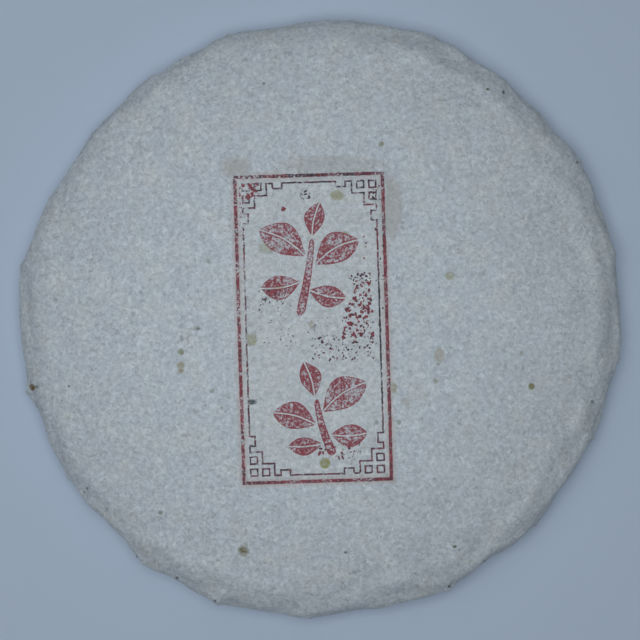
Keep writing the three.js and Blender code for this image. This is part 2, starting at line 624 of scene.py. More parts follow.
@dataclass
class Wrapper:
    """The paper wrapper, shut round the cake: its form with the relief of the paper."""

    form: CakeForm
    finish: PaperFinish
    fold_columns: int = 28
    edge_crowding: float = 0.6
    dimple_rings: int = 26
    foot_rings: int = 20
    under_rings: int = 18
    dome_rings: int = 95
    rings_to_rim: float = 1.15
    broad_wave: float = 22 * MM
    broad_height: float = 0.16 * MM
    fine_wave: float = 6 * MM
    fine_height: float = 0.05 * MM
    crinkle_wave: float = 4.5 * MM
    crinkle_height: float = 0.22 * MM
    crinkle_sharpness: float = 2.5
    crinkle_span: Span = (78 * MM, 97.5 * MM)
    crinkle_patches: Span = (-0.2, 0.3)
    lump_wave: float = 10 * MM
    lump_height: float = 1.3 * MM
    lump_span: Span = (78 * MM, 93.6 * MM)
    relief_stretch: float = 3  # how much faster the relief changes with height than across
    patches_at: Place = (5, 0, 0)  # steps in the noise, so that the layers differ
    lumps_at: Place = (0, 7, 0)
    pinch_drop: float = 0.5  # share of the shoulder's height that counts towards a pinch's length
    pinch_full: float = 0.2  # share of its length over which a pinch stands at its full height
    pleat_height: float = 0.35 * MM
    pleats_in_fold: int = 3
    pleat_wander: float = 20 * MM
    under_blend: float = 4  # how soon the pleats take over from the creases under the rim

    def rings(self) -> list[Ring]:
        """The section, from the axis under the cake, round the rim and back to the axis over it."""
        form = self.form
        points = []
        for i in range(self.dimple_rings):
            radius = form.dimple_radius * i / self.dimple_rings
            points.append((radius, form.dimple(radius)))
        for i in range(self.foot_rings):
            points.append((lerp(form.dimple_radius, form.foot_radius, i / (self.foot_rings - 1)), 0.0))
        for i in range(1, self.under_rings + 1):
            radius = lerp(form.foot_radius, form.radius, math.sin(QUARTER_TURN * i / (self.under_rings + 1)))
            points.append((radius, form.under(radius)))
        for i in range(self.dome_rings):
            radius = form.radius * math.cos(QUARTER_TURN * (i / self.dome_rings) ** self.rings_to_rim)
            points.append((radius, form.dome(radius)))
        points.append((0.0, form.crown_height))
        rings = []
        for i, (radius, height) in enumerate(points):
            before = points[max(i - 1, 0)]
            after = points[min(i + 1, len(points) - 1)]
            up = (before[0] - after[0]) / math.hypot(after[0] - before[0], after[1] - before[1])
            rings.append(Ring(radius, height, up))
        return rings

    def columns(self) -> list[Column]:
        """The columns in order round the rim, closest together at the edges of the folds."""
        columns = []
        for fold in range(len(FOLDS)):
            for i in range(self.fold_columns):
                share = i / self.fold_columns
                share -= self.edge_crowding * math.sin(math.tau * share) / math.tau
                columns.append(self.form.rim(fold, share))
        return columns

    def relief(self, ring: Ring, column: Column, x: float, y: float) -> float:
        """How far the paper stands out from the smooth form.

        Args:
            ring: The ring of the section.
            column: The column.
            x: The place seen from above.
            y: The place seen from above.

        Returns:
            The height of the relief along the surface's direction, negative for a hollow.
        """
        here = Vector((x, y, self.relief_stretch * ring.height))
        height = self.broad_height * noise.noise(here / self.broad_wave)
        height += self.fine_height * noise.noise(here / self.fine_wave)
        shown = smoothstep(ring.radius, *self.crinkle_span)
        if shown > 0:
            shown *= smoothstep(noise.noise(here / self.broad_wave + Vector(self.patches_at)), *self.crinkle_patches)
            ridge = 1 - abs(noise.noise(here / self.crinkle_wave)) * self.crinkle_sharpness
            height += self.crinkle_height * shown * max(0, ridge)
        lumpy = smoothstep(ring.radius, *self.lump_span)
        if lumpy > 0:
            height += self.lump_height * lumpy * noise.noise(here / self.lump_wave + Vector(self.lumps_at))
        height += self.pinch(ring, column)
        height += sum(crease.rise(x, y) for crease in CREASES)
        return height

    def pinch(self, ring: Ring, column: Column) -> float:
        """Height of the crease that runs on from a fold over the shoulder of the dome."""
        form = self.form
        fold = column.fold if column.share < 0.5 else (column.fold + 1) % len(FOLDS)
        away = (math.degrees(column.azimuth) - FOLDS[fold].at + 180) % 360 - 180
        inward = form.radius - ring.radius + max(0, ring.height - form.rim_height) * self.pinch_drop
        pinch = PINCHES[fold]
        if inward > pinch.length:
            return 0.0
        across = math.radians(away) * ring.radius - pinch.lean * inward
        fade = smoothstep(inward, pinch.length, self.pinch_full * pinch.length)
        return pinch.height * bump(across, pinch.width) * fade

    def pleats(self, ring: Ring, column: Column) -> float:
        """Height of the small pleats inside each fold on the underside, zero where the cake rests on it."""
        form = self.form
        free = smoothstep(column.share, form.flap_flat, 1) if ring.radius > form.dimple_radius else 1
        free = max(free, smoothstep(ring.radius, form.foot_radius, form.radius))
        near_axis = min(1, ring.radius / (2 * form.tail_radius))
        wander = noise.noise(Vector((column.fold, ring.radius / self.pleat_wander, 0)))
        wave = math.sin(math.tau * (self.pleats_in_fold * column.share + wander))
        return self.pleat_height * free * near_axis * (0.5 + 0.5 * wave)

    def spot(self, ring: Ring, column: Column) -> Vector:
        """The place of the vertex where a ring and a column cross."""
        form = self.form
        cornered = smoothstep(ring.radius / form.radius, form.corners_from, 1)
        tuck = form.tuck(ring.radius, ring.up, column.share)
        turned = form.fold_turn(ring.radius) if ring.height < form.rim_height else 0
        angle = column.azimuth + turned
        out = math.sqrt(1 - ring.up * ring.up)
        spread = ring.radius * lerp(1, column.reach / form.radius, cornered) - tuck * out
        x, y = spread * math.cos(angle), spread * math.sin(angle)
        height = ring.height - tuck * min(0, ring.up)
        if ring.up > 0:
            height += ring.up * form.unevenness(x, y)
            rise = self.relief(ring, column, x, y)
        else:
            below = min(1, -self.under_blend * ring.up)
            rise = lerp(self.relief(ring, column, x, y), -self.pleats(ring, column), below)
        share = rise * out / max(spread, form.tail_radius)
        return Vector((x + x * share, y + y * share, height + rise * ring.up))

    def build(self) -> bpy.types.Object:
        """Turns the section round the axis and moves each vertex to the folds, creases and lumps.

        Returns:
            The piece.
        """
        rings, columns = self.rings(), self.columns()
        bm = bmesh.new()
        ring_of = bm.verts.layers.int.new("ring")
        profile = [bm.verts.new((ring.radius, 0, ring.height)) for ring in rings]
        for number, vertex in enumerate(profile):
            vertex[ring_of] = number
        edges = [bm.edges.new(pair) for pair in zip(profile, profile[1:])]
        bmesh.ops.spin(
            bm, geom=profile + edges, cent=(0, 0, 0), axis=(0, 0, 1), angle=math.tau, steps=len(columns),
            use_merge=True,
        )
        for vertex in bm.verts:
            turn = math.atan2(vertex.co.y, vertex.co.x) / math.tau
            column = columns[round(turn * len(columns)) % len(columns)]
            vertex.co = self.spot(rings[vertex[ring_of]], column)
        bm.verts.layers.int.remove(ring_of)
        bmesh.ops.remove_doubles(bm, verts=bm.verts, dist=Paper.tolerance)
        lowest = Vector([min(v.co[axis] for v in bm.verts) for axis in range(2)])
        highest = Vector([max(v.co[axis] for v in bm.verts) for axis in range(2)])
        middle = (lowest + highest) / 2
        bmesh.ops.translate(bm, verts=bm.verts, vec=(-middle.x, -middle.y, 0))
        bmesh.ops.recalc_face_normals(bm, faces=bm.faces)
        for face in bm.faces:
            face.smooth = True
        piece = new_piece(bm, "wrapper", [self.finish.material()])
        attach(piece, "root")
        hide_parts("wrapped_cake")
        return piece


class Paper:
    """The wrapper's surface, on which the print and the spots are laid."""

    rays_from: float = 100 * MM
    rim_level: float = 10 * MM
    tolerance: float = 0.001 * MM
    coarse_wobble: float = 1.3 * MM
    fine_wobble: float = 0.45 * MM
    depth: float = 0.03 * MM  # how far the films reach into the paper
    wobble_seed: int = 1  # without it Blender's vector noise starts from the clock

    def __init__(self, wrapper: bpy.types.Object) -> None:
        """Reads the finished wrapper, and seeds the wobble, so that it is the same in each run."""
        noise.seed_set(self.wobble_seed)
        bm = bmesh.new()
        bm.from_mesh(wrapper.data)
        self.tree = BVHTree.FromBMesh(bm)
        bm.free()

    def seat(self, x: float, y: float, lift: float) -> Vector:
        """The place at a height above the paper, at a point seen from above."""
        above = Vector((x, y, self.rays_from))
        place, normal, _, _ = self.tree.ray_cast(above, Vector((0, 0, -1)))
        if place is None:
            place, normal, _, _ = self.tree.find_nearest(Vector((x, y, self.rim_level)))
        return place + normal * lift

    def lay(self, film: bmesh.types.BMesh, cell: float, wobble: float, lift: float) -> None:
        """Lays a flat film on the paper and gives it its thickness.

        Args:
            film: The film, flat on the floor under its place.
            cell: The size of the squares that it is cut into, so that it follows the paper.
            wobble: How far its edges wander.
            lift: The height of its top above the paper.
        """
        bmesh.ops.triangulate(film, faces=[face for face in film.faces if len(face.verts) > 4])
        for axis in range(2):
            low = min(v.co[axis] for v in film.verts)
            high = max(v.co[axis] for v in film.verts)
            direction = Vector((axis == 0, axis == 1, 0))
            for i in range(1, math.ceil((high - low) / cell)):
                geom = [*film.verts, *film.edges, *film.faces]
                cut = direction * (low + i * cell)
                bmesh.ops.bisect_plane(film, geom=geom, dist=self.tolerance, plane_co=cut, plane_no=direction)
        for vertex in film.verts:
            drift = noise.noise_vector(vertex.co / self.coarse_wobble)
            drift += noise.noise_vector(vertex.co / self.fine_wobble) / 2
            x, y = vertex.co.x + wobble * drift.x, vertex.co.y + wobble * drift.y
            vertex.co = self.seat(x, y, lift)
        film.normal_update()
        for face in film.faces:
            if face.normal.z < 0:
                face.normal_flip()
        bmesh.ops.solidify(film, geom=film.faces, thickness=lift + self.depth)
        bmesh.ops.recalc_face_normals(film, faces=film.faces)


@dataclass
class StampFrame:
    """The printed frame: an outer line, an inner line that steps round each corner, and squares in the corners."""

    paper: Paper
    ink: InkFinish
    centre: Point = (-2.3 * MM, -3.1 * MM)
    width: float = 48.1 * MM
    height: float = 99.8 * MM
    turn: float = math.radians(1.75)
    outer_line: float = 1.1 * MM
    inner_line: float = 0.56 * MM
    inset: float = 2 * MM
    step: float = 3.93 * MM
    notch_near: float = 12.4 * MM
    notch_far: float = 15 * MM
    notch_depth: float = 1.75 * MM
    square: float = 2.8 * MM
    cell: float = 0.45 * MM
    wobble: float = 0.14 * MM
    lift: float = 0.045 * MM
    outer_darkness: float = 0.42
    inner_darkness: float = 0.55
    left_wear: float = 0.04
    outer_share: float = 0.5  # of the left wear on both lines, to which the inner one adds the whole
    top_wear: float = 0.02
    right_darkness: float = 0.3
    top_darkness: float = 0.12
    side_span: Span = (0.8, 0.9)  # shares of half the width or height, like those down to right_reach
    top_span: Span = (0.8, 0.95)
    inner_span: Span = (0.97, 0.95)
    left_span: Span = (-0.7, 0)
    right_span: Span = (0, 0.2)
    right_middle: float = -0.1
    right_reach: float = 0.5
    bleed_width: float = 2 * MM
    bleed_strength: float = 0.6
    oil_strength: float = 0.12
    bleed_cell: float = 1 * MM
    bleed_lift: float = 0.014 * MM

    def corner(self) -> list[Point]:
        """The inner line's points at a corner, as distances in from the outer line, in order round the corner."""
        one, two, three = self.inset, self.inset + self.step, self.inset + 2 * self.step
        deep = self.inset + self.notch_depth
        half = [
            (one, self.notch_far), (deep, self.notch_far), (deep, self.notch_near), (one, self.notch_near),
            (one, three), (two, three), (two, two),
        ]
        return half + [(v, u) for u, v in half[-2::-1]]

    def loop(self, points: list[Point]) -> list[Point]:
        """The closed outline that has these points at each of its four corners."""
        outline = []
        for x_side, y_side in ((-1, -1), (1, -1), (1, 1), (-1, 1)):
            corner = [(x_side * (self.width / 2 - u), y_side * (self.height / 2 - v)) for u, v in points]
            outline += corner if x_side == y_side else corner[::-1]
        return outline

    def line(self, bm: bmesh.types.BMesh, outline: list[Point], width: float, number: int) -> None:
        """Adds a closed line.

        Args:
            bm: The mesh that it is added to.
            outline: The points of its outer edge.
            width: Its width.
            number: The number of its material.
        """
        face = bm.faces.new([bm.verts.new((x, y, 0)) for x, y in outline])
        bm.normal_update()
        band = bmesh.ops.inset_region(bm, faces=[face], thickness=width, use_even_offset=True, use_boundary=True)
        for part in band["faces"]:
            part.material_index = number
        bmesh.ops.delete(bm, geom=[face], context="FACES")

    def place(self) -> Matrix:
        """Where the frame lies."""
        return Matrix.Translation((*self.centre, 0)) @ Matrix.Rotation(self.turn, 4, "Z")

    def age(self, bm: bmesh.types.BMesh) -> None:
        """Stores how much more worn and how much darker than the rest each side of the frame is.

        Args:
            bm: The finished film.
        """
        worn = bm.verts.layers.float.new("worn")
        dark = bm.verts.layers.float.new("dark")
        back = self.place().inverted()
        for vertex in bm.verts:
            own = back @ vertex.co
            across, along = 2 * own.x / self.width, 2 * own.y / self.height
            left = smoothstep(-across, *self.side_span) * smoothstep(along, *self.left_span)
            beside = self.right_reach - abs(along - self.right_middle)
            right = smoothstep(across, *self.side_span) * smoothstep(beside, *self.right_span)
            top = smoothstep(along, *self.top_span)
            inner = smoothstep(abs(across), *self.inner_span)
            vertex[worn] = self.left_wear * left * (self.outer_share + inner) + self.top_wear * top
            vertex[dark] = self.right_darkness * right * inner + self.top_darkness * top

    def build_bleed(self) -> bpy.types.Object:
        """Makes the stained paper inside the frame and along its outer line.

        Returns:
            The piece.
        """
        bm = bmesh.new()
        strength = bm.verts.layers.float.new("strength")
        oil = bm.verts.layers.float.new("oil")
        face = bm.faces.new([bm.verts.new((x, y, 0)) for x, y in self.loop([(-self.bleed_width,) * 2])])
        for _ in range(2):
            bm.normal_update()
            bmesh.ops.inset_region(
                bm, faces=[face], thickness=self.bleed_width, use_even_offset=True, use_boundary=True
            )
        for vertex in bm.verts:
            outside = max(abs(vertex.co.x) - self.width / 2, abs(vertex.co.y) - self.height / 2)
            vertex[strength] = self.bleed_strength * (abs(outside) < self.bleed_width / 2)
            vertex[oil] = self.oil_strength * (outside < self.bleed_width / 2)
        bmesh.ops.transform(bm, matrix=self.place(), verts=bm.verts)
        self.paper.lay(bm, self.bleed_cell, 0, self.bleed_lift)
        piece = new_piece(bm, "ink_bleed", [self.ink.bleed_material()])
        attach(piece, "root")
        return piece

    def build(self) -> bpy.types.Object:
        """Makes the lines and the squares, and lays them on the paper.

        Returns:
            The piece.
        """
        bm = bmesh.new()
        self.line(bm, self.loop([(-self.outer_line / 2,) * 2]), self.outer_line, 0)
        self.line(bm, self.loop(self.corner()), self.inner_line, 1)
        far = self.inset + self.step
        half = self.square / 2
        for u, v in ((self.inset, self.inset), (self.inset, far), (far, self.inset)):
            for x_side, y_side in ((-1, -1), (-1, 1), (1, -1), (1, 1)):
                x = x_side * (self.width / 2 - u - half)
                y = y_side * (self.height / 2 - v - half)
                outline = [(x - half, y - half), (x + half, y - half), (x + half, y + half), (x - half, y + half)]
                self.line(bm, outline, self.inner_line, 1)
        bmesh.ops.transform(bm, matrix=self.place(), verts=bm.verts)
        self.paper.lay(bm, self.cell, self.wobble, self.lift)
        self.age(bm)
        materials = [
            self.ink.material("ink_outer_line", Coverage.LINE, self.outer_darkness),
            self.ink.material("ink_inner_line", Coverage.LINE, self.inner_darkness),
        ]
        piece = new_piece(bm, "stamp_frame", materials)
        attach(piece, "root")
        return piece


@dataclass(frozen=True)
class Leaf:
    """A printed leaf or bud: its base and tip, its greatest width, its bend to the left and how pointed it is."""

    base: Point
    tip: Point
    width: float
    bend: float
    point: float


@dataclass(frozen=True)
class Stem:
    """A printed stem through three points, with its width at the start and at the end."""

    start: Point
    middle: Point
    end: Point
    wide: float
    narrow: float


@dataclass
class Sprig:
    """A printed tea sprig: outlined shapes with a speckled field of ink in them. Its own lengths are from centre."""

    name: str
    paper: Paper
    ink: InkFinish
    centre: Point
    leaves: tuple[Leaf, ...]
    stem: Stem
    outline: float = 0.42 * MM
    midrib: float = 0.5 * MM
    leaf_points: int = 36
    stem_points: int = 32
    band: float = 0.1  # of the discs that leaves and stem are formed from, which are one unit in radius
    band_middle: float = 0.97
    leaf_skew: float = 1.15  # above 1 moves the widest place of a leaf towards its tip
    leaf_margin: float = 2.4  # of the outline at base and tip, against its width along the sides
    stem_margin: float = 0.04
    stem_core: float = 0.05 * MM
    stem_ends: float = 2.2  # 1 rounds the ends of the stem, and more makes them blunter
    outline_darkness: float = 0.2
    field_darkness: float = 0.15
    cell: float = 0.8 * MM
    wobble: float = 0.1 * MM
    lift: float = 0.045 * MM

    def disc(self, bm: bmesh.types.BMesh, points: int) -> list[bmesh.types.BMVert]:
        """Adds a round face inside a band, one unit in radius, and numbers the band 0 and the face 1.

        Args:
            bm: The mesh that it is added to.
            points: How many points its edge has.

        Returns:
            Its vertices.
        """
        ring = bmesh.ops.create_circle(bm, cap_ends=True, segments=points, radius=1)["verts"]
        face = ring[0].link_faces[0]
        bm.normal_update()
        bmesh.ops.inset_region(bm, faces=[face], thickness=self.band, use_boundary=True)
        face.material_index = 1
        return [*ring, *face.verts]

    def leaf_half(self, bm: bmesh.types.BMesh, leaf: Leaf, side: int) -> None:
        """Adds the half of a leaf on one side of its midrib.

        Args:
            bm: The mesh that it is added to.
            leaf: The leaf.
            side: 1 for its left half and -1 for its right one.
        """
        base, tip = Vector(leaf.base), Vector(leaf.tip)
        axis = tip - base
        across = Vector((-axis.y, axis.x)).normalized()
        for vertex in self.disc(bm, self.leaf_points):
            inner = vertex.co.length < self.band_middle
            x, y = vertex.co.x / vertex.co.length, vertex.co.y / vertex.co.length
            margin = self.outline / axis.length if inner else 0
            share = lerp(0.5 * (1 - x), 0.5, self.leaf_margin * margin)
            half_width = leaf.width / 2 * math.sin(math.pi * share**self.leaf_skew) ** leaf.point
            near, far = self.midrib / 2, max(half_width, self.midrib / 2)
            if inner:
                near, far = near + self.outline, far - self.outline
                near, far = min(near, (near + far) / 2), max(far, (near + far) / 2)
            out = far if y > 0 else near
            if abs(y) < 0.01:
                out = (near + far) / 2
            place = base + axis * share + across * (side * out + leaf.bend * math.sin(math.pi * share))
            vertex.co = (*place, 0)

    def stem_strip(self, bm: bmesh.types.BMesh) -> None:
        """Adds the stem as a tapered strip along its curve."""
        stem = self.stem
        start, middle, end = Vector(stem.start), Vector(stem.middle), Vector(stem.end)
        for vertex in self.disc(bm, self.stem_points):
            inner = vertex.co.length < self.band_middle
            x, y = vertex.co.x / vertex.co.length, vertex.co.y / vertex.co.length
            share = lerp(0.5 * (1 - x), 0.5, self.stem_margin if inner else 0)
            place = start * (1 - share) ** 2 + middle * 2 * share * (1 - share) + end * share**2
            along = (middle - start) * (1 - share) + (end - middle) * share
            across = Vector((-along.y, along.x)).normalized()
            half = lerp(stem.wide, stem.narrow, share) / 2 - (self.outline if inner else 0)
            place += across * max(half, self.stem_core) * clamp(self.stem_ends * y, -1, 1)
            vertex.co = (*place, 0)

    def build(self) -> bpy.types.Object:
        """Makes the stem and the leaves, and lays them on the paper.

        Returns:
            The piece.
        """
        bm = bmesh.new()
        self.stem_strip(bm)
        for leaf in self.leaves:
            for side in (-1, 1):
                self.leaf_half(bm, leaf, side)
        bmesh.ops.translate(bm, verts=bm.verts, vec=(*self.centre, 0))
        self.paper.lay(bm, self.cell, self.wobble, self.lift)
        materials = [
            self.ink.material(self.name + "_outline", Coverage.LINE, self.outline_darkness),
            self.ink.material(self.name + "_field", Coverage.FIELD, self.field_darkness),
        ]
        piece = new_piece(bm, self.name, materials)
        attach(piece, "root")
        return piece


@dataclass(frozen=True)
class Smudge:
    """A patch of ink flecks: its middle, its half width and half height, and what the flecks are like."""

    centre: Point
    reach: Point
    count: int
    smallest: float
    largest: float
    darkness: float


@dataclass
class InkFlecks:
    """The loose flecks of ink that the stamp left between its marks."""

    paper: Paper
    ink: InkFinish
    smudges: tuple[Smudge, ...]
    seed: int = 11
    points: int = 7
    length_span: Span = (0.8, 1.7)
    width_span: Span = (0.5, 0.9)
    raggedness: float = 0.3
    darkness_spread: float = 0.3
    cell: float = 30 * MM
    lift: float = 0.06 * MM

    def fleck(self, bm: bmesh.types.BMesh, draw: random.Random, smudge: Smudge) -> None:
        """Adds one fleck somewhere in a smudge.

        Args:
            bm: The mesh that it is added to.
            draw: The source of its chances.
            smudge: The patch that it belongs to.
        """
        dark = bm.verts.layers.float["dark"]
        x = smudge.centre[0] + smudge.reach[0] * draw.uniform(-1, 1)
        y = smudge.centre[1] + smudge.reach[1] * draw.uniform(-1, 1)
        size = lerp(smudge.smallest, smudge.largest, draw.random() ** 2) / 2
        turn = Matrix.Rotation(draw.uniform(0, math.pi), 4, "Z")
        stretch = Matrix.Diagonal((draw.uniform(*self.length_span), draw.uniform(*self.width_span), 1, 1))
        place = Matrix.Translation((x, y, 0)) @ turn @ stretch
        ring = bmesh.ops.create_circle(bm, cap_ends=True, segments=self.points, radius=size, matrix=place)["verts"]
        shade = clamp(draw.gauss(smudge.darkness, self.darkness_spread))
        for vertex in ring:
            vertex.co += Vector((draw.uniform(-1, 1), draw.uniform(-1, 1), 0)) * size * self.raggedness
            vertex[dark] = shade

    def build(self) -> bpy.types.Object:
        """Scatters the flecks and lays them on the paper.

        Returns:
            The piece.
        """
        bm = bmesh.new()
        bm.verts.layers.float.new("dark")
        draw = random.Random(self.seed)
        for smudge in self.smudges:
            for _ in range(smudge.count):
                self.fleck(bm, draw, smudge)
        self.paper.lay(bm, self.cell, 0, self.lift)
        piece = new_piece(bm, "ink_flecks", [self.ink.fleck_material()])
        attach(piece, "root")
        return piece


class Tint(Enum):
    """What coloured the paper in a spot."""

    BROWN = (0.2, 0.115, 0.03)
    OLIVE = (0.3, 0.27, 0.1)
    GREEN = (0.13, 0.18, 0.07)
    TAN = (0.52, 0.44, 0.28)
    YELLOW = (0.45, 0.4, 0.12)
    WARM = (0.6, 0.54, 0.44)
    GREY = (0.16, 0.17, 0.17)
    WHITE = (0.95, 0.95, 0.95)


@dataclass(frozen=True)
class Spot:
    """A spot in the paper: its place, its size across and along, its colour and how strongly it shows."""

    place: Point
    size: Point
    tint: Tint
    strength: float


@dataclass
class PaperSpots:
    """The small spots of the paper."""

    paper: Paper
    finish: SpotFinish
    spots: tuple[Spot, ...]
    points: int = 18
    step: float = 0.3  # from ring to ring, in a disc of one unit in radius
    plateau: float = 0.4  # how far in from the edge a spot is at its strongest
    cell: float = 1.2 * MM
    lift: float = 0.03 * MM

    def disc(self, bm: bmesh.types.BMesh, spot: Spot) -> None:
        """Makes one spot, strongest in its middle and gone at its edge.

        Args:
            bm: The empty mesh that it is made in.
            spot: The spot.
        """
        tint = bm.verts.layers.float_color["tint"]
        strength = bm.verts.layers.float["strength"]
        ring = bmesh.ops.create_circle(bm, cap_ends=True, segments=self.points, radius=1)["verts"]
        face = ring[0].link_faces[0]
        bm.normal_update()
        for _ in range(2):
            bmesh.ops.inset_region(bm, faces=[face], thickness=self.step, use_boundary=True)
        for vertex in bm.verts:
            vertex[strength] = spot.strength * smoothstep(1 - vertex.co.length, 0, self.plateau)
            vertex[tint] = (*spot.tint.value, 1)
            x = spot.place[0] + vertex.co.x * spot.size[0] / 2
            y = spot.place[1] + vertex.co.y * spot.size[1] / 2
            vertex.co = (x, y, 0)

    def build(self) -> bpy.types.Object:
        """Makes the spots, lays each on the paper and joins them.

        Returns:
            The piece.
        """
        whole = bmesh.new()
        for spot in self.spots:
            bm = bmesh.new()
            bm.verts.layers.float_color.new("tint")
            bm.verts.layers.float.new("strength")
            self.disc(bm, spot)
            self.paper.lay(bm, self.cell, 0, self.lift)
            part = bpy.data.meshes.new("spot")
            bm.to_mesh(part)
            bm.free()
            whole.from_mesh(part)
            bpy.data.meshes.remove(part)
        piece = new_piece(whole, "paper_spots", [self.finish.material()])
        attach(piece, "root")
        return piece


@dataclass(frozen=True)
class Lamp:
    """A square soft light that shines at the cake: the place of its middle, the length of its side and its watts."""

    name: str
    place: Place
    size: float
    power: float


@dataclass
class Studio:
    """A plain pale floor, soft light and the camera straight above the cake."""

    camera_height: float = 500 * MM
    camera_place: Point = (-0.07 * MM, -0.40 * MM)
    focal_length: float = 81.86
    sensor_width: float = 36
    floor_size: float = 8
    floor_drop: float = 0.02 * MM
    horizon: Colour = (0.2, 0.24, 0.29)
    zenith: Colour = (0.045, 0.05, 0.057)
    horizon_up_to: float = math.radians(3)
    zenith_from: float = math.radians(14)
    light_colour: Colour = (0.88, 1.0, 1.122)
    lamps: tuple[Lamp, ...] = (
        Lamp("key_light", (-0.03, -0.01, 0.56), 0.36, 1.15),
        Lamp("left_light", (-0.5, 0, 0.7), 0.5, 0.36),
        Lamp("back_light", (0, 0.6, 0.7), 0.5, 0.34),
    )

    def hang(self, lamp: Lamp) -> None:
        """Hangs a light and turns it to the cake."""
        data = bpy.data.lights.new(lamp.name, "AREA")
        data.size = lamp.size
        data.energy = lamp.power
        data.color = self.light_colour
        light = bpy.data.objects.new(lamp.name, data)
        light.location = lamp.place
        light.rotation_euler = (-Vector(lamp.place)).to_track_quat("-Z", "Y").to_euler()
        bpy.context.scene.collection.objects.link(light)

    def floor(self) -> None:
        """Lays the floor under the cake."""
        bm = bmesh.new()
        bmesh.ops.create_grid(bm, x_segments=1, y_segments=1, size=self.floor_size / 2)
        bmesh.ops.translate(bm, verts=bm.verts, vec=(0, 0, -self.floor_drop))
        floor = new_piece(bm, "floor", [FloorFinish().material()])

    def camera(self) -> None:
        """Hangs the camera over the cake and makes it the scene's."""
        data = bpy.data.cameras.new("camera")
        data.lens = self.focal_length
        data.sensor_width = self.sensor_width
        camera = bpy.data.objects.new("camera", data)
        camera.location = (*self.camera_place, self.camera_height)
        bpy.context.scene.collection.objects.link(camera)
        bpy.context.scene.camera = camera

    def surroundings(self) -> bpy.types.World:
        """A soft tent round the floor: pale near the horizon and dimmer overhead, where the lights are."""
        world = bpy.data.worlds.new("soft_tent")
        shade = Shade(world)
        way = shade.node("ShaderNodeTexCoord").output("Generated")
        height = shade.node("ShaderNodeSeparateXYZ", None, {0: way}).output("Z")
        share = shade.step(height, math.sin(self.horizon_up_to), math.sin(self.zenith_from))
        glow = shade.node("ShaderNodeBackground", None, {"Color": shade.mix(share, self.horizon, self.zenith)})
        shade.node("ShaderNodeOutputWorld", None, {"Surface": glow})
        return world

    def build(self) -> None:
        """Sets up the floor, the light and the camera."""
        scene = bpy.context.scene
        scene.world = self.surroundings()
        scene.view_settings.view_transform = "Standard"
        self.floor()
        for lamp in self.lamps:
            self.hang(lamp)
        self.camera()


UPPER_CENTRE = (-3.7 * MM, 19.3 * MM)
UPPER_LEAVES = tuple(
    Leaf((x1 * MM, y1 * MM), (x2 * MM, y2 * MM), width * MM, bend * MM, point)
    for x1, y1, x2, y2, width, bend, point in (
        (1, 7.4, 3.5, 18.6, 6.6, 0.6, 0.9), (-1.2, 1.2, -16.2, 9.6, 10.2, -1.4, 0.8),
        (2.2, -1.6, 16.2, 6.4, 10.2, 1.5, 0.8), (-2.9, -7.4, -15.6, -9.4, 8, 0.8, 0.8),
        (0.2, -10, 12, -12.6, 7.2, -0.7, 0.8),
    )
)
UPPER_STEM = Stem((-3 * MM, -18.4 * MM), (0.4 * MM, -4 * MM), (1 * MM, 6.6 * MM), 3 * MM, 1.7 * MM)
LOWER_CENTRE = (0, -29 * MM)
LOWER_LEAVES = tuple(
    Leaf((x1 * MM, y1 * MM), (x2 * MM, y2 * MM), width * MM, bend * MM, point)
    for x1, y1, x2, y2, width, bend, point in (
        (0.9, -1.2, 15, 8.4, 10.4, 1.4, 0.8), (-1.4, -5.4, -15.4, -1.6, 9, -1, 0.8),
        (-1.8, 3.6, -5.4, 15, 7, -0.7, 0.9), (3.4, -8.8, 15.4, -8.2, 7.4, -0.6, 0.8),
        (0.6, -11.8, -10.4, -12.6, 6, 0.4, 0.8),
    )
)
LOWER_STEM = Stem((4.4 * MM, -15.4 * MM), (0, -7 * MM), (-1.2 * MM, 2.8 * MM), 3 * MM, 1.7 * MM)

SMUDGES = tuple(
    Smudge((x * MM, y * MM), (across * MM, along * MM), count, small * MM, large * MM, dark)
    for x, y, across, along, count, small, large, dark in (
        (12.5, 14.2, 3.9, 1.9, 30, 0.35, 0.9, 0.75), (13.8, 8.7, 2.9, 3.6, 62, 0.4, 1.3, 0.3),
        (12.2, -0.6, 5, 5.8, 118, 0.4, 1.4, 0.3), (7.2, -9.4, 10, 4, 110, 0.35, 0.9, 0.8),
        (-15.9, 6.2, 4.6, 3.5, 40, 0.3, 0.7, 1.0), (-8, 0, 11.5, 9, 90, 0.25, 0.6, 1.0),
        (6.3, -42.8, 7, 2.6, 44, 0.35, 1.1, 0.6), (-4.3, 40.4, 2.3, 2.3, 12, 0.4, 0.9, 0.9),
        (-12.1, 35.8, 0.3, 0.3, 2, 1.2, 1.5, 0), (14.4, 23, 0.6, 5, 4, 0.6, 1.0, 0.2),
        (-22.6, 41.6, 2.6, 2.6, 40, 0.4, 1.4, 0.1), (18.6, 41.5, 2.4, 2.6, 16, 0.4, 1.1, 0.6),
        (-25.6, 36, 0.8, 9, 30, 0.3, 0.8, 0.3), (19, 12, 1.6, 20, 26, 0.3, 0.8, 0.9),
    )
)

